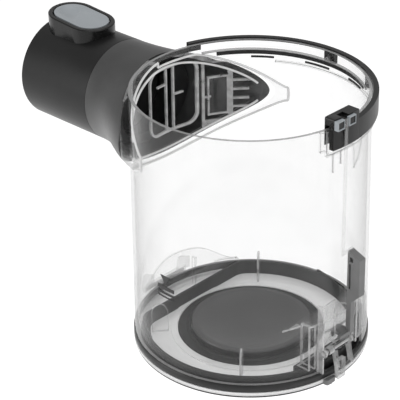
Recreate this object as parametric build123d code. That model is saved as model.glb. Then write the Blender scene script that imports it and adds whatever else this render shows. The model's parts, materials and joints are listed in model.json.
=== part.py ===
from build123d import *
import math
import os

# Dust container of a bagless canister vacuum cleaner. Millimetres, +Z up.
# Origin: container axis at the plane the container stands on. The hose neck
# points along -X, the flap latch and the clip of the release ring sit at +X.

# --- clear container -----------------------------------------------------------
BIN_TOP = 190.0
BIN_BOTTOM = 10.0
BIN_R_TOP = 80.0
BIN_R_BOTTOM = 82.0
WALL = 2.2
POCKET_X = 65.0
POCKET_TOP = 48.0
POCKET_Y = (-26.0, 33.0)
PANEL = 1.6                      # thickness of the clear inner panels
OPENING_Y = (-20.0, 29.0)
OPENING_TOP = 40.0
PARTITION_X = -61.0
SEAL_GAP = 0.3
MARK_X = (-9.0, 6.0)
MARK_HEIGHT = 0.6
MARK_BARS = ((70.6, 2.4), (67.2, 1.5), (64.6, 0.8))   # foot and height of each bar

# --- hose neck -------------------------------------------------------------------
NECK_Z = 150.0
NECK_R = 37.2
NECK_END = -188.5
SKIN = 1.6
MANTLE_START = -122.0
MANTLE_LOW_END_X = -60.0
MANTLE_EDGE_R = 87.0
MANTLE_LOW_EDGE = (84.3, -3.0)  # radius and Y of the edge below the release ring
MANTLE_LOW_TOP = 172.0
LINER_R = 31.0
LINER_BORE_R = 29.2
# stations of the flare: distance along X, half width in Y, half height in Z
FLARE = ((-124.0, 37.2, 37.15), (-108.0, 39.5, 37.1), (-92.0, 46.5, 37.0),
         (-74.0, 57.0, 36.8), (-41.0, 69.6, 36.0), (-30.0, 73.0, 35.5))

# --- release button -----------------------------------------------------------------
GRILLE_Y = (-18.0, 27.0)
GRILLE_Z = (130.5, 181.0)
HOUSING_X = (-188.5, -136.0)
HOUSING_HALF_WIDTH = 17.5
HOUSING_TOP = (197.0, 193.2)     # at the outer and the inner end
CAP_LOW = (191.0, 188.7)
HOUSING_WALL = 3.5
BUTTON_GAP = 0.7
BUTTON_PIN = (-146.0, 190.8)
BUTTON_PIN_REACH = 14.6
PIN_R = 1.5
RUN = 0.05
LINK_Z = (183.3, 185.1)
RAMP_START = -176.0

# --- release ring -------------------------------------------------------------------
RING_R = (80.6, 84.2)
RING_Z = (176.5, 190.9)
RING_THIN_Z = 188.2              # underside of the ring away from its clip
RING_SLOPE_Y = (48.0, 72.7)      # where its underside rises to that height
LUG_WIDTH = 9.0
LEDGE_Z = (182.7, 184.0)
RING_ANGLES = (5.0, 164.0)
RING_PIVOT_Z = 184.0
FOOT_ANGLES = (157.0, 181.0)
CLIP_Y = (-14.6, 9.5)
CLIP_R = 84.4
CLIP_TOP = 198.0
CLIP_BACK = 75.6
PRONG_X = 86.6
PRONG_Y = ((-14.3, -7.8), (-3.4, 3.2))
PRONG_Z = (190.8, 197.2)
FRAME = 0.8                      # light frame around the dark face of a prong
FORK_Y = (-7.4, -3.8)            # head of the release rod between the prongs
ROD_TRAVEL = 2.5

# --- latch --------------------------------------------------------------------------
SLIDER_X = (84.6, 95.0)
SLIDER_TOP = (98.5, 94.5)
BAIL_PIVOT = (84.4, 28.5)
BAIL_FOOT = (88.6, 12.5)
BAIL_Y = (-12.0, 4.4)
BAIL_BAR_R = 1.5
BAIL_EARS = ((-21.5, -20.1), (5.0, 6.4))
BAIL_ARM = 7.6

# --- bottom flap --------------------------------------------------------------------
FLAP_RIM_R = 82.9
FLAP_RIM_TOP = 4.2
RIM_SEAL_TOP = 9.7
FLAP_FLOOR = (1.5, 4.0)
GASKET_TOP = 12.5
GASKET_FOOT_R = (71.2, 78.2)
GASKET_LIP_R = (74.4, 76.2)
GASKET_CHORD = -57.3
FIN_ANGLES = (-131.5, -53.5, 37.0, 127.5)
FIN_R = (58.5, 70.2)
FIN_TOP = 26.8
DISH_R = 42.4
HINGE = (-87.2, 6.4)
HINGE_R = 3.4
EAR_Y = (16.0, 20.0)


def block(x0, x1, y0, y1, z0, z1):
    """Box between two corners."""
    size = (x1 - x0, y1 - y0, z1 - z0)
    return Pos((x0 + x1) / 2, (y0 + y1) / 2, (z0 + z1) / 2) * Box(*size)


def rod_z(r, x, y, z0, z1):
    """Cylinder along Z."""
    return Pos(x, y, (z0 + z1) / 2) * Cylinder(r, z1 - z0)


def rod_y(r, x, z, y0, y1):
    """Cylinder along Y."""
    return Pos(x, (y0 + y1) / 2, z) * Rot(90, 0, 0) * Cylinder(r, y1 - y0)


def rod_x(r, y, z, x0, x1):
    """Cylinder along X."""
    return Pos((x0 + x1) / 2, y, z) * Rot(0, 90, 0) * Cylinder(r, x1 - x0)


def tube(r_out, r_in, z0, z1):
    """Round tube about the container axis."""
    return rod_z(r_out, 0, 0, z0, z1) - rod_z(r_in, 0, 0, z0 - 1, z1 + 1)


def wall_radius(z):
    """Outer radius of the drafted container wall at a height."""
    t = (z - BIN_BOTTOM) / (BIN_TOP - BIN_BOTTOM)
    return BIN_R_BOTTOM + t * (BIN_R_TOP - BIN_R_BOTTOM)


def wall_cone(offset, z0, z1):
    """Solid cone that follows the container wall, offset from its outer face."""
    r0 = wall_radius(z0) + offset
    r1 = wall_radius(z1) + offset
    return Pos(0, 0, (z0 + z1) / 2) * Cone(r0, r1, z1 - z0)


def sector(a0, a1, r, z0, z1):
    """Pie slice about the container axis between two angles in degrees."""
    steps = max(2, math.ceil((a1 - a0) / 20))
    far = r / math.cos(math.radians((a1 - a0) / steps / 2))
    points = [(0, 0)]
    for i in range(steps + 1):
        a = math.radians(a0 + (a1 - a0) * i / steps)
        points.append((far * math.cos(a), far * math.sin(a)))
    face = make_face(Polyline(*points, close=True))
    return Pos(0, 0, z0) * extrude(face, z1 - z0)


def slab_xz(points, y0, y1):
    """Outline in the XZ plane made thick along Y."""
    face = make_face(Polyline(*[(x, y0, z) for x, z in points], close=True))
    return extrude(face, y1 - y0, dir=(0, 1, 0))


def slab_yz(points, x0, x1):
    """Outline in the YZ plane made thick along X."""
    face = make_face(Polyline(*[(x0, y, z) for y, z in points], close=True))
    return extrude(face, x1 - x0, dir=(1, 0, 0))


def turned(points):
    """Closed outline in radius and height, turned about the container axis."""
    face = make_face(Polyline(*[(r, 0, z) for r, z in points], close=True))
    return revolve(face, Axis.Z, 360)


def rounded_plate(x0, x1, half_width, corner, z0, z1):
    """Plate with rounded corners seen from above."""
    outline = RectangleRounded(x1 - x0, 2 * half_width, corner)
    return Pos((x0 + x1) / 2, 0, z0) * extrude(outline, z1 - z0)


def flare(side, top=None):
    """Solid flare from the round neck to the wide saddle, offset at its sides and its top."""
    top = side if top is None else top
    sections = []
    for x, half_y, half_z in FLARE:
        plane = Plane(origin=(x, 0, NECK_Z), x_dir=(0, 1, 0), z_dir=(1, 0, 0))
        sections.append(plane * Ellipse(half_y - side, half_z - top))
    return loft(sections)


OUTER_FLARE = flare(0)
DUCT = flare(SKIN + 3.2, SKIN + 4.4)
BIN_INSIDE = wall_cone(-WALL, BIN_BOTTOM - 5, BIN_TOP + 5)


def make_bin_shell():
    shell = wall_cone(0, BIN_BOTTOM, BIN_TOP) - BIN_INSIDE
    shell -= OUTER_FLARE
    shell -= block(60, 90, *OPENING_Y, BIN_BOTTOM - 1, OPENING_TOP)
    shell -= rod_y(PIN_R, 0, RING_PIVOT_Z, 70, 90)
    ledge = wall_cone(-WALL, *LEDGE_Z) - wall_cone(-WALL - 1.2, LEDGE_Z[0] - 1, LEDGE_Z[1] + 1)
    return shell + (ledge & sector(50, 158, 100, *LEDGE_Z))


def inside_mantle_edge(gap):
    """Space between the container and the edge of the neck's mantle."""
    low_r, low_y = MANTLE_LOW_EDGE
    low = rod_z(low_r - gap, 0, low_y, 100, MANTLE_LOW_TOP + gap)
    return low + rod_z(MANTLE_EDGE_R - gap, 0, 0, MANTLE_LOW_TOP + gap, 200)


def make_inlet_scoop():
    near_wall = OUTER_FLARE & inside_mantle_edge(SEAL_GAP)
    scoop = flare(SKIN + 1.4, SKIN + 2.6) + near_wall
    scoop -= DUCT
    scoop -= BIN_INSIDE
    scoop -= block(-140, MANTLE_START, -60, 60, 100, 200)
    notch = sector(154, 186, 90, LINK_Z[0] - 0.2, 200)
    scoop -= notch & tube(MANTLE_EDGE_R, 70, 170, 200)
    scoop -= block(-30, 0, -90, 90, 100, 200)
    return scoop


def make_neck_mantle():
    mantle = OUTER_FLARE - flare(SKIN)
    mantle -= inside_mantle_edge(0)
    mantle -= block(-140, MANTLE_START + 0.1, -60, 60, 100, 200)
    return mantle - block(MANTLE_LOW_END_X, 0, -90, 0, 100, 200)


def make_neck_tube():
    outer = rod_x(NECK_R, 0, NECK_Z, NECK_END, MANTLE_START)
    shell = outer - rod_x(NECK_R - SKIN, 0, NECK_Z, NECK_END - 1, MANTLE_START + 1)
    shell -= block(-184, -142, -11, 11, NECK_Z + 20, NECK_Z + 45)
    return shell


def make_duct_liner():
    liner = rod_x(LINER_R, 0, NECK_Z, NECK_END + 0.3, MANTLE_START + 4)
    liner += rod_x(NECK_R - SKIN - 0.1, 0, NECK_Z, NECK_END + 0.3, NECK_END + 2.3)
    liner -= rod_x(LINER_BORE_R, 0, NECK_Z, NECK_END - 1, MANTLE_START + 5)
    return liner


def make_inlet_frame():
    plate = DUCT & block(-100, -96, -60, 60, 100, 200)
    outline = RectangleRounded(52, 46, 15)
    plane = Plane(origin=(-105, 0, NECK_Z), x_dir=(0, 1, 0), z_dir=(1, 0, 0))
    return plate - extrude(plane * outline, 12)


def curved_bar(a0, a1, z0, z1, depth=1.6):
    """Bar that follows the inside of the container wall."""
    skin = wall_cone(-WALL + 1.6, z0, z1) - wall_cone(-WALL + 1.6 - depth, z0 - 1, z1 + 1)
    return skin & sector(a0, a1, 100, z0, z1)


def make_inlet_grille():
    low, high = GRILLE_Z
    skin = wall_cone(-WALL + 1.6, low - 1, high + 1) - wall_cone(-WALL, low - 2, high + 2)
    plane = Plane(origin=(-90, (GRILLE_Y[0] + GRILLE_Y[1]) / 2, (low + high) / 2), x_dir=(0, 1, 0),
                  z_dir=(1, 0, 0))
    outline = RectangleRounded(GRILLE_Y[1] - GRILLE_Y[0], high - low, 9)
    window = RectangleRounded(GRILLE_Y[1] - GRILLE_Y[0] - 3.6, high - low - 3.6, 7.4)
    grille = skin & extrude(plane * (outline - window), 30)
    for y in (-0.8, 5.8):
        grille += skin & block(-90, -60, y, y + 1.4, low + 1, high - 1)
    for y, z in ((-9.0, 167.0), (7.0, 157.0)):
        grille += skin & block(-90, -60, y, y + 8, z, z + 1.3)
    return grille & DUCT


def make_inlet_comb():
    comb = curved_bar(143.6, 155.0, 134, 164) - curved_bar(144.6, 154.0, 135.4, 162.6, 3)
    comb += curved_bar(144.0, 154.6, 134.5, 163.5, 0.6)
    comb += curved_bar(156.6, 158.2, 118.5, 180.5)
    comb += curved_bar(153.0, 158.0, 148, 149.3)
    for z, end in ((166.5, 134), (159.5, 128.5), (152.5, 133), (145.5, 133), (139.0, 127.5),
                   (134.0, 133)):
        comb += curved_bar(end, 144.2, z - 0.8, z + 0.8)
    comb += curved_bar(141.4, 143.8, 134, 168)
    comb += curved_bar(145.0, 158.0, 126.5, 130.5)
    return comb & DUCT


def make_latch_pocket():
    floor_z = GASKET_TOP + SEAL_GAP
    shelf_z = POCKET_TOP - PANEL
    y0, y1 = POCKET_Y
    pocket = block(POCKET_X, POCKET_X + PANEL, y0, y1, floor_z, POCKET_TOP)
    pocket += block(POCKET_X, BIN_R_BOTTOM, y0, y1, shelf_z, POCKET_TOP)
    blade = make_face(Polyline((POCKET_X, y0 - 15), (POCKET_X, y0 + 1), (POCKET_X + 6, y0 + 1),
                               (POCKET_X + 3.4, y0 - 6), close=True))
    pocket += Pos(0, 0, shelf_z) * extrude(blade, PANEL)
    for y in (y0, OPENING_Y[0] - PANEL, OPENING_Y[1], y1 - PANEL):
        pocket += block(POCKET_X, BIN_R_BOTTOM, y, y + PANEL, floor_z, shelf_z)
    return pocket & BIN_INSIDE


def on_wall(depth, z0, z1):
    """Skin of a given depth on the outside of the container wall."""
    return wall_cone(depth, z0, z1) - wall_cone(0, z0 - 1, z1 + 1)


def make_slider_guide():
    px, pz = BAIL_PIVOT
    guide = block(79, 84.2, -21.5, -20.1, BIN_BOTTOM + 2, 64)
    guide += block(82.4, 83.8, BAIL_EARS[0][1], -8.0, 36, 65)
    guide += block(79, 84.6, 12.0, 13.4, 22, 66)
    cover = slab_yz([(13.4, 22), (30.5, 22), (30.5, 50), (26, 56), (13.4, 66)], 70, 90)
    guide += on_wall(2.4, 20, 68) & cover & (block(70, 90, 29.1, 31, 20, 68) + tube(90, 83.0, 20, 68))
    guide += block(79, 80.6, BAIL_EARS[1][0], 12.5, 24, 33)
    guide += block(79, px, *BAIL_EARS[1], 25.5, 31.5)
    for y0, y1 in BAIL_EARS:
        guide += rod_y(3.0, px, pz, y0, y1)
        guide -= rod_y(PIN_R, px, pz, y0 - 0.1, y1 + 0.1)
    return guide - wall_cone(0, 5, 100)


def make_chamber_partition():
    base = GASKET_TOP + SEAL_GAP
    line = Spline((PARTITION_X, -50, base), (PARTITION_X, -43, 31), (PARTITION_X, -27, 44.5),
                  (PARTITION_X, -4, 44.5), (PARTITION_X, 12, 39), (PARTITION_X, 34, 23.5),
                  (PARTITION_X, 52, base))
    face = make_face(Curve() + [line, Line(line @ 1, line @ 0)])
    panel = extrude(face, 1.6, dir=(1, 0, 0))
    panel += block(PARTITION_X - 8, PARTITION_X, -60, 60, base, base + 1.4)
    panel += block(PARTITION_X + 1.6, PARTITION_X + 4.5, 2, 4, base, 36)
    return panel & BIN_INSIDE


def make_ring_guard():
    top = RING_Z[0] - ROD_TRAVEL - 0.4
    low = top - 1.3
    guard = on_wall(2.6, low, top) & sector(-12.4, 120, 100, low, top)
    guard += on_wall(2.6, low, BIN_TOP) & sector(-12.4, -11.4, 100, low, BIN_TOP)
    guard += on_wall(2.0, low + 4, BIN_TOP) & sector(-15.6, -11.4, 100, low + 4, BIN_TOP)
    for y, drop in ((-11.5, 13), (-4.7, 9)):
        guard += on_wall(1.2, low - drop, low) & block(70, 90, y, y + 1.0, low - drop, low)
    tongue = slab_yz([(9, low), (19.5, low), (19.2, low - 5), (16, low - 13), (9.8, low - 18)], 70, 90)
    return guard + (on_wall(1.0, low - 20, low) & tongue)


def make_rim_tabs():
    band = wall_cone(-WALL, 179.6, 182.5) - wall_cone(-WALL - 0.9, 178, 184)
    tabs = band & sector(56, 150, 100, 179.6, 182.5)
    low = wall_cone(-WALL, 176.8, 178.3) - wall_cone(-WALL - 0.9, 176, 179)
    for a0, a1 in ((120, 132), (88, 103), (60.5, 73)):
        tabs += low & sector(a0, a1, 100, 176.8, 178.3)
    return tabs


def make_fill_mark():
    skin = on_wall(MARK_HEIGHT, 58, 84)
    x0, x1 = MARK_X
    middle = (x0 + x1) / 2
    mark = Part()
    for z, height in MARK_BARS:
        mark += skin & block(x0, x1, -90, -60, z, z + height)
    arrow = slab_xz([(middle - 4.5, 81), (middle + 4.5, 81), (middle, 75.2)], -90, -60)
    return mark + (skin & arrow)


def slanted(z_ends, z_far, half_width):
    """Slab over the button housing whose face slants from its outer to its inner end."""
    (x0, x1), (z0, z1) = HOUSING_X, z_ends
    slope = (z1 - z0) / (x1 - x0)
    return slab_xz([(x0 - 5, z0 - 5 * slope), (x1 + 5, z1 + 5 * slope), (x1 + 5, z_far),
                    (x0 - 5, z_far)], -half_width, half_width)


def make_button_housing():
    top = HOUSING_TOP[0] + 1
    outer = rounded_plate(*HOUSING_X, HOUSING_HALF_WIDTH, 17, NECK_Z + 26, top)
    inner = rounded_plate(HOUSING_X[0] + HOUSING_WALL, HOUSING_X[1] - HOUSING_WALL,
                          HOUSING_HALF_WIDTH - HOUSING_WALL, 13.5, NECK_Z, top + 1)
    collar = outer - slanted(HOUSING_TOP, 210, 30)
    collar -= inner + rod_x(NECK_R, 0, NECK_Z, NECK_END - 5, MANTLE_START)
    collar = chamfer(collar.faces().sort_by(Axis.Z)[-1].edges(), 0.7)
    reach = BUTTON_PIN_REACH + 0.1
    return collar - rod_y(PIN_R, *BUTTON_PIN, -reach, reach)


def make_release_button():
    inset = HOUSING_WALL + BUTTON_GAP
    cap = rounded_plate(HOUSING_X[0] + inset, HOUSING_X[1] - inset,
                        HOUSING_HALF_WIDTH - inset, 13, CAP_LOW[1] - 2, HOUSING_TOP[0] + 1)
    cap -= slanted(HOUSING_TOP, 210, 30) + slanted(CAP_LOW, 150, 30)
    cap -= Pos(-173.4, 0, HOUSING_TOP[0] + 11.6) * Sphere(15)
    stem = slab_xz([(-180, 191.2), (-180, 185.9), (-175.7, 185.9), (-170.4, 191.2)], -1.8, 1.8)
    return cap + stem - rod_y(PIN_R + RUN, *BUTTON_PIN, -20, 20)


def make_button_spring():
    spring = Part()
    for y in (-9, 4):
        spring += slab_xz([(-168, 189.9), (-168, 189.4), (-156, 187.5), (-155.6, 188.0),
                           (-165, 189.9)], y, y + 5)
    return spring


def make_button_pin():
    return rod_y(PIN_R, *BUTTON_PIN, -BUTTON_PIN_REACH, BUTTON_PIN_REACH)


def make_push_link():
    low, high = LINK_Z
    tip = -RING_R[1] + 0.2
    rise = 3.0
    ramp_top = high + rise
    outline = [(RAMP_START, low), (RAMP_START, high), (RAMP_START + rise, ramp_top),
               (RAMP_START + 7, ramp_top), (RAMP_START + 7, high), (tip - high + low, high),
               (tip, low)]
    return slab_xz(outline, -2, 2)


def make_release_ring():
    z0, z1 = RING_Z
    band = tube(RING_R[1], RING_R[0], z0, z1) & sector(*RING_ANGLES, 100, z0, z1)
    (y0, y1), below = RING_SLOPE_Y, z0 - 9
    slope_end = math.degrees(math.asin(y1 / RING_R[0])) - 2
    band -= sector(slope_end, 190, 100, z0 - 1, RING_THIN_Z)
    band -= slab_yz([(y0, z0), (y1, RING_THIN_Z), (y1, below), (y0, below)], 30, 90)
    lug_z = RING_PIVOT_Z - PIN_R - 2.1
    band += tube(RING_R[1], RING_R[0], lug_z, z1) & block(-LUG_WIDTH / 2, LUG_WIDTH / 2, 60, 90, lug_z, z1)
    foot_z = LINK_Z[0] + 0.6
    foot = tube(RING_R[1], 82.2, foot_z, foot_z + 3) & sector(*FOOT_ANGLES, 100, foot_z, z1)
    riser = tube(RING_R[1], 82.2, foot_z, 189) & sector(
        FOOT_ANGLES[0], RING_ANGLES[1], 100, foot_z, z1)
    ring = band + riser + foot
    ring -= rod_y(PIN_R + RUN, 0, RING_PIVOT_Z, 75, 90)
    return ring - block(60, 100, *CLIP_Y, z0 - 1, z1 + 1)


def make_clip_block():
    y0, y1 = CLIP_Y
    outer = tube(CLIP_R, RING_R[0] + 0.4, RING_Z[0], CLIP_TOP)
    hood = rod_z(CLIP_R, 0, 0, BIN_TOP + ROD_TRAVEL + 0.3, CLIP_TOP)
    skirt = tube(CLIP_BACK + 1.8, 70, RING_Z[0] + 2, CLIP_TOP)
    body = (outer + hood + skirt) & block(CLIP_BACK, 90, y0, y1, 170, 200)
    body = fillet(body.edges().filter_by(Axis.X).group_by(Axis.Z)[-1], 1.2)
    slot = block(82.8, 86, FORK_Y[0] + 1, FORK_Y[1], PRONG_Z[0] - 5.4, PRONG_Z[0] - 0.8)
    recess = block(79, 86, FORK_Y[0], FORK_Y[1] + 2.4, CLIP_TOP - 2.0, CLIP_TOP + 1)
    return body - slot - recess


def make_catch_prongs():
    low, high = PRONG_Z
    prongs = Part()
    for y0, y1 in PRONG_Y:
        prong = block(82, PRONG_X, y0, y1, low, high) - rod_z(CLIP_R + 0.05, 0, 0, low - 1, high + 1)
        prongs += prong - block(PRONG_X - 0.6, PRONG_X + 1, y0 + FRAME, y1 - FRAME / 2,
                                low + FRAME, high - FRAME)
    return prongs


def make_ring_pivot():
    return rod_y(PIN_R, 0, RING_PIVOT_Z, wall_radius(RING_PIVOT_Z) - WALL + 0.3, RING_R[1] - 0.2)


def slider_top(x):
    """Height of the slider's slanted top face."""
    (x0, x1), (z0, z1) = SLIDER_X, SLIDER_TOP
    return z0 + (z1 - z0) * (x - x0) / (x1 - x0)


def make_release_rod():
    y0, y1 = FORK_Y
    low, high = PRONG_Z
    x0, x1 = 85.0, 86.2
    head = block(x0, x1, y0, y1, low + 2.4, high - 0.8)
    strip = block(x0, x1, y1 - 2.4, y1, 99, high - 0.8)
    foot = slab_xz([(x0, slider_top(x0)), (x1, slider_top(x1)), (x1, 100.5), (x0, 100.5)],
                   y1 - 2.4, 5.0)
    return head + strip + foot


def make_latch_slider():
    x0, x1 = SLIDER_X
    upper = slab_xz([(x0, 68), (x1, 66.5), (x1, SLIDER_TOP[1]), (x0, SLIDER_TOP[0])], 1.0, 7.0)
    upper -= block(86.0, 87.6, 0.5, 2.6, 70, 89)
    upper -= block(86.4, 89.2, 0.5, 3.0, 91, 94.2)
    jog = slab_xz([(x0, 68), (x1, 66.5), (88.6, 60), (x0, 58)], 1.0, 7.0)
    lower = block(x0, 88.6, 1.0, 4.6, 37, 60)
    foot = block(84.9, 87.4, -8, 7.2, 34.2, 37)
    reach = BAIL_PIVOT[0] - BAIL_ARM - 0.8
    pusher = block(reach, 87.4, -4, 4.6, 34.2, 37) + block(reach, reach + 1.4, -4, 4, 30.8, 35)
    return upper + jog + lower + foot + pusher


def make_latch_bail():
    px, pz = BAIL_PIVOT
    fx, fz = BAIL_FOOT
    y0, y1 = BAIL_Y
    bail = rod_y(2.6, px, pz, y0, y1)
    bail += rod_y(BAIL_BAR_R, fx, fz, y0, y1)
    for y in (y0, y1 - 2.4):
        bail += slab_xz([(px - 1.3, pz), (px + 2.2, pz + 0.6), (fx + 1.4, fz), (fx - 1.4, fz - 0.5)],
                        y, y + 2.4)
    bail += block(px - BAIL_ARM - 1.4, px, -5, 5, pz - 1.2, pz + 1.8)
    return bail - rod_y(PIN_R + RUN, px, pz, y0 - 1, y1 + 1)


def make_bail_pin():
    return rod_y(PIN_R, *BAIL_PIVOT, BAIL_EARS[0][0], BAIL_EARS[1][1])


def make_flap_plate():
    z0, z1 = FLAP_FLOOR
    plate = rod_z(80.4, 0, 0, z0, z1)
    rim = turned([(77.0, 0.0), (81.3, 0.0), (81.3, 1.8), (FLAP_RIM_R, 1.8),
                  (FLAP_RIM_R, FLAP_RIM_TOP), (79.4, FLAP_RIM_TOP), (79.4, z1), (77.0, z0)])
    step = turned([(DISH_R + 9.8, z1 - 1), (DISH_R + 14.4, z1 - 1), (DISH_R + 14.4, z1 + 1.0),
                   (DISH_R + 9.8, z1 + 1.4)])
    step -= block(-60, GASKET_CHORD + 3.5, -40, 40, z1, z1 + 2)
    return plate + rim + step + rod_z(30.0, 0, 0, 0, z0)


def make_rim_seal():
    band = turned([(80.2, FLAP_RIM_TOP), (82.2, FLAP_RIM_TOP), (82.8, 5.4), (82.8, 8.4),
                   (82.0, RIM_SEAL_TOP), (80.2, RIM_SEAL_TOP)])
    bead = turned([(81.3, 0.3), (82.4, 0.3), (82.7, 0.9), (82.4, 1.8), (81.3, 1.8)])
    return band + bead


def make_floor_fins():
    low = FLAP_FLOOR[1]
    r0, r1 = FIN_R
    half = (r1 - r0) / 2
    fin = block(r0, r1, -0.75, 0.75, low, FIN_TOP - half - 2)
    arch = Pos((r0 + r1) / 2, 0, FIN_TOP - half - 2) * Rot(90, 0, 0)
    fin += arch * extrude(Ellipse(half, half + 2), 0.75, both=True)
    fins = Part()
    for angle in FIN_ANGLES:
        fins += Rot(0, 0, angle) * fin
    return fins


def make_latch_keeper():
    middle = (BAIL_Y[0] + BAIL_Y[1]) / 2
    finger = block(80, BAIL_FOOT[0] - BAIL_BAR_R - 0.5, middle - 3.6, middle + 3.6, 2.0,
                   BAIL_FOOT[1] + 4.3)
    return finger - rod_z(FLAP_RIM_R, 0, 0, 0, FLAP_RIM_TOP) - rod_z(83.2, 0, 0, FLAP_RIM_TOP, 30)


def cut_circle(r, chord, z):
    """Disc outline with a straight side towards the fine dust space."""
    face = Circle(r) - Pos(chord - r, 0) * Rectangle(2 * r, 3 * r)
    return Pos(0, 0, z) * fillet(face.vertices(), 12)


def make_flap_gasket():
    z1 = FLAP_FLOOR[1]
    (foot_in, foot_out), (lip_in, lip_out) = GASKET_FOOT_R, GASKET_LIP_R
    outer = loft([cut_circle(foot_out, GASKET_CHORD - 2.6, z1),
                  cut_circle(lip_out, GASKET_CHORD - 0.9, GASKET_TOP)])
    inner = loft([cut_circle(foot_in, GASKET_CHORD + 3.2, z1 - 0.01),
                  cut_circle(lip_in, GASKET_CHORD + 0.9, GASKET_TOP + 0.01)])
    band = outer - inner
    peak = tube(lip_out, lip_in + 0.2, GASKET_TOP - 0.5, 15.8) & sector(76, 92, 100, 10, 16)
    peak -= slab_xz([(18.6, GASKET_TOP), (-2.7, 15.6), (-2.7, 30), (40, 30), (40, GASKET_TOP)],
                    60, 90)
    y0, y1 = POCKET_Y
    bridge = block(POCKET_X - 1.5, POCKET_X + 3, y0 - 1.5, y1 + 1.5, z1, GASKET_TOP)
    for y in (y0 + PANEL / 2, y1 - PANEL / 2):
        bridge += block(POCKET_X, lip_out, y - 2.3, y + 2.3, z1, GASKET_TOP)
    return band + peak + (bridge & inner)


def make_centre_dish():
    z1 = FLAP_FLOOR[1]
    bowl = ThreePointArc((0, 0, z1 + 1.2), (24, 0, z1 + 2.6), (38.5, 0, z1 + 6))
    rim = Polyline((38.5, 0, z1 + 6), (41.6, 0, z1 + 6), (DISH_R, 0, z1 + 5.2), (DISH_R, 0, z1),
                   (0, 0, z1), (0, 0, z1 + 1.2))
    return revolve(make_face(Curve() + [bowl, rim]), Axis.Z, 360)


def make_dish_ring():
    z1 = FLAP_FLOOR[1]
    r = DISH_R + 0.2
    return turned([(r, z1), (r, z1 + 2.0), (r + 2.6, z1 + 2.0), (r + 3.4, z1 + 1.2),
                   (r + 8.6, z1 + 1.2), (r + 9.3, z1 + 0.6), (r + 9.3, z1)])


def make_flap_lug():
    tab = block(78, 85.0, -17.0, -8.0, 0.8, 4.6)
    tab = fillet(tab.edges().filter_by(Axis.Z).group_by(Axis.X)[-1], 1.6)
    stud = rod_z(1.2, 83.6, -12.5, 0.1, 0.8)
    return tab + stud - rod_z(FLAP_RIM_R, 0, 0, -1, 12)


def make_hinge_knuckle():
    hx, hz = HINGE
    body = rod_y(HINGE_R, hx, hz, -EAR_Y[0] + 0.4, EAR_Y[0] - 0.4)
    body += block(hx, -78, -EAR_Y[0] + 0.4, EAR_Y[0] - 0.4, hz - HINGE_R, hz + 1.6)
    return body - rod_z(FLAP_RIM_R, 0, 0, -1, 20) - rod_y(PIN_R + RUN, hx, hz, -30, 30)


def make_hinge_ears():
    hx, hz = HINGE
    ears = Part()
    for side in (-1, 1):
        y0, y1 = sorted((side * EAR_Y[0], side * EAR_Y[1]))
        ear = rod_y(HINGE_R, hx, hz, y0, y1)
        ear += slab_xz([(hx - HINGE_R, hz), (hx + HINGE_R, hz), (hx + HINGE_R, BIN_BOTTOM + 2),
                        (-72, BIN_BOTTOM + 2), (-72, 24), (hx - HINGE_R + 2, 18)], y0, y1)
        ears += ear
    return ears - wall_cone(0, 5, 60) - rod_y(PIN_R, hx, hz, -30, 30)


def make_hinge_pin():
    return rod_y(PIN_R, *HINGE, -EAR_Y[1], EAR_Y[1])


def make_latch_spring():
    px, pz = BAIL_PIVOT
    coils = Part()
    for i in range(4):
        turn = Pos(px, BAIL_Y[0] - 1.2 - 1.1 * i, pz) * Rot(90, 0, 0) * Torus(2.3, 0.45)
        coils += turn
    bridge = block(px - 0.3, px + 0.3, BAIL_Y[0] - 4.5, BAIL_Y[0], pz + 2.0, pz + 2.55)
    return coils + bridge


NODES = {
    "bin_shell": make_bin_shell,
    "inlet_scoop": make_inlet_scoop,
    "neck_mantle": make_neck_mantle,
    "neck_tube": make_neck_tube,
    "duct_liner": make_duct_liner,
    "inlet_frame": make_inlet_frame,
    "latch_pocket": make_latch_pocket,
    "slider_guide": make_slider_guide,
    "chamber_partition": make_chamber_partition,
    "ring_guard": make_ring_guard,
    "rim_tabs": make_rim_tabs,
    "fill_mark": make_fill_mark,
    "inlet_grille": make_inlet_grille,
    "inlet_comb": make_inlet_comb,
    "button_housing": make_button_housing,
    "release_button": make_release_button,
    "button_spring": make_button_spring,
    "button_pin": make_button_pin,
    "push_link": make_push_link,
    "release_ring": make_release_ring,
    "clip_block": make_clip_block,
    "catch_prongs": make_catch_prongs,
    "ring_pivot": make_ring_pivot,
    "release_rod": make_release_rod,
    "latch_slider": make_latch_slider,
    "latch_bail": make_latch_bail,
    "bail_pin": make_bail_pin,
    "latch_spring": make_latch_spring,
    "flap_plate": make_flap_plate,
    "flap_gasket": make_flap_gasket,
    "rim_seal": make_rim_seal,
    "floor_fins": make_floor_fins,
    "centre_dish": make_centre_dish,
    "dish_ring": make_dish_ring,
    "flap_lug": make_flap_lug,
    "latch_keeper": make_latch_keeper,
    "hinge_knuckle": make_hinge_knuckle,
    "hinge_ears": make_hinge_ears,
    "hinge_pin": make_hinge_pin,
}

os.makedirs("parts", exist_ok=True)
for name, maker in NODES.items():
    solid = maker()
    export_step(solid, f"parts/{name}.step")
    print(name, len(solid.solids()), round(solid.volume))
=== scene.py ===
import json
import math

import bmesh
import bpy
from mathutils import Matrix, Vector


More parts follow.
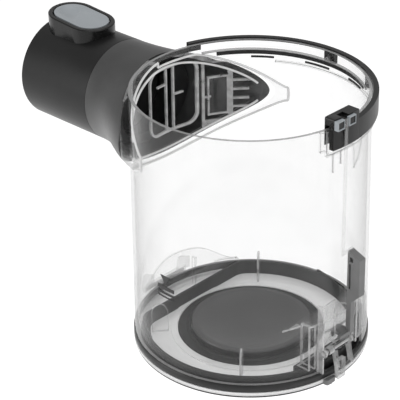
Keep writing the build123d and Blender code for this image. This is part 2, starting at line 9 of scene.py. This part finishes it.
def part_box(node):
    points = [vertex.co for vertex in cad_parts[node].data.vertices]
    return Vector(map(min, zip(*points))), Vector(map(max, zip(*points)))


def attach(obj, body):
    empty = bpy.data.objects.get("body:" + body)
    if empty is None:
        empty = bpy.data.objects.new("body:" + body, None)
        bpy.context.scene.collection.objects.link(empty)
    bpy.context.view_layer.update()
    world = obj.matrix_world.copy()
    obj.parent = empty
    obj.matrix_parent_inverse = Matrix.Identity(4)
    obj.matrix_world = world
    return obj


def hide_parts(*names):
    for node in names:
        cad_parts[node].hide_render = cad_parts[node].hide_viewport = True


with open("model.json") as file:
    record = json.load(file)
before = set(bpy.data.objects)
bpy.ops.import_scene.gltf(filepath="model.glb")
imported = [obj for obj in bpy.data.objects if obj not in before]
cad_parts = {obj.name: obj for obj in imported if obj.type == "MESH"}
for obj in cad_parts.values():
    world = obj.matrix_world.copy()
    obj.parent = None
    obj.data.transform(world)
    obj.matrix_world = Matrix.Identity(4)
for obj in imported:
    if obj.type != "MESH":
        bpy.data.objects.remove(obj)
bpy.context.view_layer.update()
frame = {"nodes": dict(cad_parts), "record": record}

MM = 0.001
NODES = frame["nodes"]
BODY_OF = {node: body for body, nodes in frame["record"]["behaviour"]["bodies"].items() for node in nodes}
SLOT_OF = {part["node"]: part["material_slot"] for part in frame["record"]["subparts"]}

# ---- camera, light and floor -------------------------------------------------
CAMERA_AZIMUTH = math.radians(42.45)
CAMERA_ELEVATION = math.radians(29.47)
CAMERA_ROLL = math.radians(-0.21)
CAMERA_DISTANCE = 1.118
CAMERA_TARGET = Vector((0, 0, 0.090))
FOCAL_RATIO = 4.0875        # focal length over sensor width
CAMERA_SHIFT = (-0.1268, 0.0498)
SENSOR_WIDTH = 36           # mm
FAR_CLIP = 20               # m
WORLD_LIGHT = 0.61
LIGHT_AIM = (-0.03, 0, 0.10)    # the point that every lamp faces
# name, place, width and height in metres, power in watts
LAMPS = (("top", (0.1, 0.2, 1.5), (1.4, 1.4), 5.7),
         ("left_box", (-0.75, -1.15, 0.45), (0.45, 1.0), 6),
         ("right_box", (1.3, -0.35, 0.45), (0.45, 1.0), 1.6))
CLEAR_LAYERS = 32           # clear surfaces that a line of sight may pass
FLOOR_HALF = 3.0            # half the side of the floor, in metres
FLOOR_GAP = 0.002           # metres below the full reach of the open flap
FLOOR_GLOW = 0.36


def add_camera():
    data = bpy.data.cameras.new("camera")
    data.sensor_width = SENSOR_WIDTH
    data.lens = SENSOR_WIDTH * FOCAL_RATIO
    data.shift_x, data.shift_y = CAMERA_SHIFT
    data.clip_end = FAR_CLIP
    camera = bpy.data.objects.new("camera", data)
    bpy.context.scene.collection.objects.link(camera)
    back = Vector((math.sin(CAMERA_AZIMUTH) * math.cos(CAMERA_ELEVATION),
                   -math.cos(CAMERA_AZIMUTH) * math.cos(CAMERA_ELEVATION),
                   math.sin(CAMERA_ELEVATION)))
    turn = back.to_track_quat("Z", "Y").to_matrix() @ Matrix.Rotation(CAMERA_ROLL, 3, "Z")
    camera.matrix_world = Matrix.Translation(CAMERA_TARGET + back * CAMERA_DISTANCE) @ turn.to_4x4()
    bpy.context.scene.camera = camera


def add_area(name, place, size, power):
    data = bpy.data.lights.new(name, "AREA")
    data.shape = "RECTANGLE"
    data.size, data.size_y = size
    data.energy = power
    lamp = bpy.data.objects.new(name, data)
    bpy.context.scene.collection.objects.link(lamp)
    lamp.location = place
    lamp.rotation_euler = (Vector(place) - Vector(LIGHT_AIM)).to_track_quat("Z", "Y").to_euler()


def add_floor():
    """Plain sheet below the open flap, whose full width hangs down from its hinge."""
    flap_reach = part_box("latch_keeper")[1].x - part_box("hinge_knuckle")[0].x
    half, z = FLOOR_HALF, -flap_reach - FLOOR_GAP
    mesh = bpy.data.meshes.new("floor")
    mesh.from_pydata([(-half, -half, z), (half, -half, z), (half, half, z), (-half, half, z)],
                     [], [(0, 1, 2, 3)])
    mesh.materials.append(floor_material())
    floor = bpy.data.objects.new("floor", mesh)
    bpy.context.scene.collection.objects.link(floor)


def add_stage():
    world = bpy.data.worlds.new("studio")
    bpy.context.scene.world = world
    world.use_nodes = True
    background = world.node_tree.nodes["Background"]
    background.inputs["Color"].default_value = colour(1)
    background.inputs["Strength"].default_value = WORLD_LIGHT
    for lamp in LAMPS:
        add_area(*lamp)
    add_floor()
    view = bpy.context.scene.view_settings
    view.view_transform = "Standard"
    view.look = "None"
    bpy.context.scene.cycles.transparent_max_bounces = CLEAR_LAYERS


# ---- materials ---------------------------------------------------------------
SLANT_POWER = 4.0           # how late the tint of clear plastic sets in as it is seen at a slant
SHINE_POWER = 5.0           # the same for its reflections
SHINE_MOST = 0.7            # share of reflection at the flattest slant
RAMP_ENDS = (0.3, 0.7)      # part of the noise range that the tones are spread over
GRAIN_DEPTH = 0.0001        # m
RIPPLE = (0.06, 0.0004)     # strength and depth, in metres, of the ripple in clear surfaces
# scales of the noise in each surface, in cells per metre
TONE_SCALE = 60
GLOSS_SCALE = 240
TINT_SCALE = 45
SHINE_SCALE = 300
RIPPLE_SCALE = 35
# through: tint straight on, grazing: tint at a slant, haze: share of dull body,
# shine: share of reflection straight on, cloud: scale, stretch and swing of the haze
CLEAR_LOOKS = {
    "clear_plastic": {},
    # this edge material's grey hazy body is painted shade: it draws dark outlines along the cut ends,
    # thin ribs and rounded edges of clear pieces
    "clear_edge_painted_shade": dict(through=(0.62, 0.56), grazing=0.5, haze=0.62, haze_tone=0.36, rough=0.12,
                       shine=0.05),
    # this edge material's pale hazy body is a painted highlight along the edges of the inlet, latch and
    # fin pieces; its patchy cloud paints light and dark lumps as refraction would
    "clear_rib_painted_highlight": dict(through=(0.90, 0.86), grazing=0.7, haze=0.42, haze_tone=0.74, rough=0.10,
                      shine=0.06, cloud=(150, None, 0.8)),
    # near-white hazy body: a painted highlight line along the inlet flange
    "clear_bead_painted_highlight": dict(through=(0.97, 0.95), grazing=0.9, haze=0.72, haze_tone=0.95, rough=0.08,
                       shine=0.1, cloud=(60, None, 0.35)),
    "clear_soft": dict(through=(0.97, 0.95), grazing=0.92, haze=0.12, haze_tone=0.80),
    # faint haze of the wall itself; its streaks, stretched up the wall, are painted reflection of tall
    # lamps
    "clear_wall_haze_and_painted_streaks": dict(through=(0.978, 0.968), grazing=0.72, haze=0.013, haze_tone=0.7,
                       cloud=(26, (1, 1, 0.02), 1.0)),
    "frosted_plastic": dict(through=(0.97, 0.95), haze=0.60, haze_tone=0.92, rough=0.02,
                            shine=0.13),
}
# low and high: the two tones the grain runs between, rough: least and most roughness
MOULDED_LOOKS = {
    "charcoal_plastic": dict(low=0.007, high=0.010, rough=(0.32, 0.38), specular=0.25),
    "graphite_plastic": dict(low=0.042, high=0.052, rough=(0.32, 0.40), specular=0.35),
    "dark_plastic": dict(low=0.012, high=0.016, rough=(0.32, 0.42), specular=0.22),
    "black_plastic": dict(low=0.006, high=0.010, rough=(0.35, 0.5), specular=0.3),
    "gloss_black": dict(low=0.006, high=0.009, rough=(0.20, 0.26), bump=0.03, specular=0.28),
    "button_grey": dict(low=(0.30, 0.325, 0.345), high=(0.33, 0.355, 0.375), rough=(0.35, 0.45)),
    "slider_grey": dict(low=0.13, high=0.17, rough=(0.4, 0.5)),
    "dish_grey": dict(low=0.018, high=0.023, rough=(0.27, 0.33), grain=300, bump=0.01,
                      specular=0.9),
    "black_rubber": dict(low=0.012, high=0.018, rough=(0.35, 0.5), grain=500, bump=0.3,
                         specular=0.4),
    "grey_print": dict(low=0.015, high=0.03, rough=(0.5, 0.6)),
}


class Shader:
    """A node material that is put together step by step."""

    def __init__(self, name):
        self.material = bpy.data.materials.new(name)
        self.material.use_nodes = True
        self.nodes = self.material.node_tree.nodes
        self.links = self.material.node_tree.links
        self.nodes.clear()
        self.output = self.nodes.new("ShaderNodeOutputMaterial")
        self.place = self.nodes.new("ShaderNodeTexCoord").outputs["Object"]

    def link(self, source, target):
        self.links.new(source, target)

    def noise(self, scale, detail=3.0, stretch=None):
        node = self.nodes.new("ShaderNodeTexNoise")
        node.inputs["Scale"].default_value = scale
        node.inputs["Detail"].default_value = detail
        source = self.place
        if stretch:
            mapping = self.nodes.new("ShaderNodeMapping")
            mapping.inputs["Scale"].default_value = stretch
            self.link(self.place, mapping.inputs["Vector"])
            source = mapping.outputs["Vector"]
        self.link(source, node.inputs["Vector"])
        return node.outputs["Fac"]

    def ramp(self, source, low, high):
        node = self.nodes.new("ShaderNodeValToRGB")
        for element, position, tone in zip(node.color_ramp.elements, RAMP_ENDS, (low, high)):
            element.position = position
            element.color = colour(tone)
        self.link(source, node.inputs["Fac"])
        return node.outputs["Color"]

    def span(self, source, low, high):
        node = self.nodes.new("ShaderNodeMapRange")
        node.inputs["To Min"].default_value = low
        node.inputs["To Max"].default_value = high
        self.link(source, node.inputs["Value"])
        return node.outputs["Result"]

    def power(self, source, exponent):
        node = self.nodes.new("ShaderNodeMath")
        node.operation = "POWER"
        node.inputs[1].default_value = exponent
        self.link(source, node.inputs[0])
        return node.outputs[0]

    def mix(self, share, first, second):
        node = self.nodes.new("ShaderNodeMixShader")
        self.link(share, node.inputs["Fac"])
        self.link(first, node.inputs[1])
        self.link(second, node.inputs[2])
        return node.outputs["Shader"]

    def bump(self, source, strength, distance, target):
        node = self.nodes.new("ShaderNodeBump")
        node.inputs["Strength"].default_value = strength
        node.inputs["Distance"].default_value = distance
        self.link(source, node.inputs["Height"])
        self.link(node.outputs["Normal"], target)


def colour(value):
    if isinstance(value, (int, float)):
        return (value, value, value, 1)
    return (*value[:3], 1)


def moulded(name, low, high, rough, grain=900, bump=0.15, specular=0.5):
    """Opaque moulded plastic or rubber with fine grain and slightly uneven gloss."""
    shader = Shader(name)
    base = shader.nodes.new("ShaderNodeBsdfPrincipled")
    shader.link(shader.ramp(shader.noise(TONE_SCALE), low, high), base.inputs["Base Color"])
    shader.link(shader.span(shader.noise(GLOSS_SCALE, 4), *rough), base.inputs["Roughness"])
    base.inputs["Specular IOR Level"].default_value = specular
    shader.bump(shader.noise(grain, 2), bump, GRAIN_DEPTH, base.inputs["Normal"])
    shader.link(base.outputs["BSDF"], shader.output.inputs["Surface"])
    return shader.material


def clear(name, through=(0.985, 0.97), grazing=0.70, rough=0.03, haze=0.0, haze_tone=0.8,
          shine=0.015, cloud=(80, None, 0.1)):
    """Clear moulded plastic: light goes straight through, less of it at a slant, and its faces shine."""
    shader = Shader(name)
    facing = shader.nodes.new("ShaderNodeLayerWeight")
    facing.inputs["Blend"].default_value = 0.5
    tint = shader.nodes.new("ShaderNodeMix")
    tint.data_type = "RGBA"
    slant = shader.power(facing.outputs["Facing"], SLANT_POWER)
    shader.link(slant, tint.inputs["Factor"])
    shader.link(shader.ramp(shader.noise(TINT_SCALE), *through), tint.inputs["A"])
    tint.inputs["B"].default_value = colour(grazing)
    glass = shader.nodes.new("ShaderNodeBsdfTransparent")
    shader.link(tint.outputs["Result"], glass.inputs["Color"])
    body = glass.outputs["BSDF"]
    if haze:
        dull = shader.nodes.new("ShaderNodeBsdfDiffuse")
        dull.inputs["Color"].default_value = colour(haze_tone)
        scale, stretch, swing = cloud
        share = shader.span(shader.noise(scale, 2, stretch), haze * (1 - swing),
                            min(1.0, haze * (1 + swing)))
        body = shader.mix(share, body, dull.outputs["BSDF"])
    gloss = shader.nodes.new("ShaderNodeBsdfGlossy")
    gloss.inputs["Color"].default_value = colour(0.95)
    sheen = shader.span(shader.noise(SHINE_SCALE), rough, rough * 2)
    shader.link(sheen, gloss.inputs["Roughness"])
    shader.bump(shader.noise(RIPPLE_SCALE, 1), *RIPPLE, gloss.inputs["Normal"])
    share = shader.span(shader.power(facing.outputs["Facing"], SHINE_POWER), shine, SHINE_MOST)
    shader.link(shader.mix(share, body, gloss.outputs["BSDF"]), shader.output.inputs["Surface"])
    return shader.material


def steel(name):
    """Bare drawn wire."""
    shader = Shader(name)
    base = shader.nodes.new("ShaderNodeBsdfPrincipled")
    base.inputs["Metallic"].default_value = 1.0
    shader.link(shader.ramp(shader.noise(200), 0.45, 0.62), base.inputs["Base Color"])
    shader.link(shader.span(shader.noise(700), 0.22, 0.4), base.inputs["Roughness"])
    shader.bump(shader.noise(1500), 0.1, 0.00005, base.inputs["Normal"])
    shader.link(base.outputs["BSDF"], shader.output.inputs["Surface"])
    return shader.material


def floor_material():
    """Pale matt floor with a faint glow of its own."""
    shader = Shader("studio_floor")
    base = shader.nodes.new("ShaderNodeBsdfPrincipled")
    shader.link(shader.ramp(shader.noise(4), 0.90, 0.93), base.inputs["Base Color"])
    base.inputs["Roughness"].default_value = 0.9
    base.inputs["Specular IOR Level"].default_value = 0.1
    base.inputs["Emission Color"].default_value = colour(1.0)
    base.inputs["Emission Strength"].default_value = FLOOR_GLOW
    shader.link(base.outputs["BSDF"], shader.output.inputs["Surface"])
    return shader.material


def make_materials():
    made = {name: clear(name, **look) for name, look in CLEAR_LOOKS.items()}
    made.update((name, moulded(name, **look)) for name, look in MOULDED_LOOKS.items())
    made["spring_steel"] = steel("spring_steel")
    return made


# ---- pieces made from the CAD solids, with rounded edges -----------------------
# radius of the rounded edges of each node, in mm; the nodes that aren't named keep their CAD mesh
BEVEL = {
    "bin_shell": 0.5, "inlet_scoop": 0.5, "clip_block": 0.5, "catch_prongs": 0.4,
    "latch_slider": 0.35, "flap_lug": 0.5, "button_housing": 0.7, "release_button": 0.6,
    "release_ring": 0.6, "latch_bail": 0.4, "release_rod": 0.2, "slider_guide": 0.3,
    "latch_pocket": 0.3, "ring_guard": 0.3, "chamber_partition": 0.3, "flap_plate": 0.4,
    "flap_gasket": 0.4, "centre_dish": 0.4, "dish_ring": 0.3, "neck_tube": 0.4,
    "neck_mantle": 0.3, "hinge_ears": 0.4, "hinge_knuckle": 0.4, "latch_keeper": 0.4,
    "inlet_grille": 0.4, "inlet_comb": 0.35, "floor_fins": 0.35, "rim_tabs": 0.3,
    "inlet_frame": 0.4, "rim_seal": 0.2, "push_link": 0.2, "fill_mark": 0.02,
}
SMOOTH_ANGLE = math.radians(30)
BEVEL_ANGLE = math.radians(35)      # edges sharper than this are rounded
FLAT_ANGLE = math.radians(0.5)      # faces that meet at less than this are one face
SAME_PLACE = 1e-6                   # corners closer than this, in metres, are one corner
NARROW_FACE = 3.0                   # a clear face narrower than this, in mm, counts as an edge
NARROW = {"inlet_scoop": 16.0}      # the same for a node that has its own width
# the narrow and rounded faces of these pieces get the edge material with the painted highlight
PAINTED_HIGHLIGHT_EDGES = ("inlet_scoop", "inlet_grille", "inlet_comb", "latch_bail", "latch_keeper",
               "latch_pocket", "floor_fins", "slider_guide")
# the painted shade of the edge material outlines these pieces along their rounded edges
OUTLINED = ("ring_guard", "chamber_partition")  # only their rounded edges get the edge material
SOFT = ("hinge_ears", "hinge_knuckle", "release_rod")   # slightly hazy, without an edge material
# the beads carry a painted highlight line along the edges of the inlet flange
BEADS = (("inlet_scoop", (77.0, 79.2), 0.8),)   # radii of the edges and radius of the bead, in mm
BEAD_STEPS = 3                                  # steps round a quarter of the bead
RECESS = {"catch_prongs": 86.3}                 # depth along X of the dark face of each prong, in mm


def face_patches(work):
    """Groups of faces that run smoothly into each other, each with its border length."""
    seen = set()
    for start in work.faces:
        if start in seen:
            continue
        seen.add(start)
        patch, border, waiting = [], 0.0, [start]
        while waiting:
            face = waiting.pop()
            patch.append(face)
            for edge in face.edges:
                others = [other for other in edge.link_faces if other is not face]
                if others and edge.calc_face_angle(math.pi) < SMOOTH_ANGLE:
                    fresh = [other for other in others if other not in seen]
                    seen.update(fresh)
                    waiting.extend(fresh)
                else:
                    border += edge.calc_length()
        yield patch, border


def mark_narrow(work, width):
    """Wall ends and thin ribs of a clear piece get the edge material, which is slot 1: painted shade on
    most pieces, a painted highlight on some.
    """
    for patch, border in face_patches(work):
        area = sum(face.calc_area() for face in patch)
        if border and 2 * area / border < width:
            for face in patch:
                face.material_index = 1


def mark_recess(work, x):
    """Faces that look along +X and lie no further out than x get material slot 1."""
    for face in work.faces:
        if face.normal.x > 0.9 and face.calc_center_median().x < x:
            face.material_index = 1


def merged(mesh):
    """Editable copy of a mesh with its doubled corners joined."""
    work = bmesh.new()
    work.from_mesh(mesh)
    bmesh.ops.remove_doubles(work, verts=work.verts, dist=SAME_PLACE)
    return work


def clean_copy(node, edge):
    """Mesh of a CAD solid with clean flat faces, its edge or recess faces marked."""
    mesh = NODES[node].data.copy()
    mesh.materials.clear()
    work = merged(mesh)
    bmesh.ops.dissolve_limit(work, angle_limit=FLAT_ANGLE, verts=work.verts, edges=work.edges,
                             delimit={"NORMAL"})
    if node in RECESS:
        mark_recess(work, RECESS[node] * MM)
    elif edge and node not in OUTLINED:
        mark_narrow(work, NARROW.get(node, NARROW_FACE) * MM)
    work.to_mesh(mesh)
    work.free()
    return mesh


def round_edges(piece, width):
    bevel = piece.modifiers.new("bevel", "BEVEL")
    bevel.width = width * MM
    bevel.segments = 2
    bevel.limit_method = "ANGLE"
    bevel.angle_limit = BEVEL_ANGLE
    bevel.harden_normals = True
    bevel.use_clamp_overlap = True
    return bevel


def detailed(node, material, width, edge=None):
    """Copy of a CAD solid with rounded edges; it stands for the node."""
    mesh = clean_copy(node, edge)
    piece = bpy.data.objects.new(node + "_detail", mesh)
    bpy.context.scene.collection.objects.link(piece)
    mesh.materials.append(material)
    for face in mesh.polygons:
        face.use_smooth = True
    mesh.set_sharp_from_angle(angle=SMOOTH_ANGLE)
    bevel = round_edges(piece, width)
    if edge:
        mesh.materials.append(edge)
        bevel.material = -1 if node in RECESS else 1
    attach(piece, BODY_OF[node])
    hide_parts(node)


def edge_lines(node, inner, outer):
    """Ends of each sharp edge of a node that lies in a shell about the container axis."""
    work = merged(NODES[node].data)
    for edge in work.edges:
        ends = [tuple(vert.co) for vert in edge.verts]
        on_shell = all(inner * MM < math.hypot(x, y) < outer * MM for x, y, z in ends)
        if on_shell and edge.calc_face_angle(0) > SMOOTH_ANGLE:
            yield ends
    work.free()


def edge_beads(node, inner, outer, thickness, material):
    """Fine rounded bead along those edges."""
    curve = bpy.data.curves.new(node + "_bead", "CURVE")
    curve.dimensions = "3D"
    curve.bevel_depth = thickness * MM
    curve.bevel_resolution = BEAD_STEPS
    curve.use_fill_caps = True
    for ends in edge_lines(node, inner, outer):
        spline = curve.splines.new("POLY")
        spline.points.add(1)
        for point, end in zip(spline.points, ends):
            point.co = (*end, 1)
    curve.materials.append(material)
    bead = bpy.data.objects.new(node + "_bead", curve)
    bpy.context.scene.collection.objects.link(bead)
    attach(bead, BODY_OF[node])


def looks(node, materials):
    """Material of a piece, and the one for its narrow faces or its recess."""
    main = materials[SLOT_OF[node]]
    if node in RECESS:
        return main, materials["gloss_black"]
    if node in SOFT:
        return materials["clear_soft"], None
    if SLOT_OF[node] != "clear_plastic":
        return main, None
    if node == "bin_shell":
        main = materials["clear_wall_haze_and_painted_streaks"]
    # narrow and rounded faces of clear pieces get a painted highlight on the listed pieces and painted
    # shade on the rest
    return main, materials["clear_rib_painted_highlight" if node in PAINTED_HIGHLIGHT_EDGES else "clear_edge_painted_shade"]


def dress_nodes(materials):
    """Every node gets its material, and those with a rounded edge get a detailed piece."""
    for node, thing in NODES.items():
        material, edge = looks(node, materials)
        if node in BEVEL:
            detailed(node, material, BEVEL[node], edge)
        else:
            thing.data.materials.clear()
            thing.data.materials.append(material)


materials = make_materials()
add_camera()
add_stage()
dress_nodes(materials)
# near-white beads that paint a highlight line along the inlet flange
for node, (inner, outer), thickness in BEADS:
    edge_beads(node, inner, outer, thickness, materials["clear_bead_painted_highlight"])
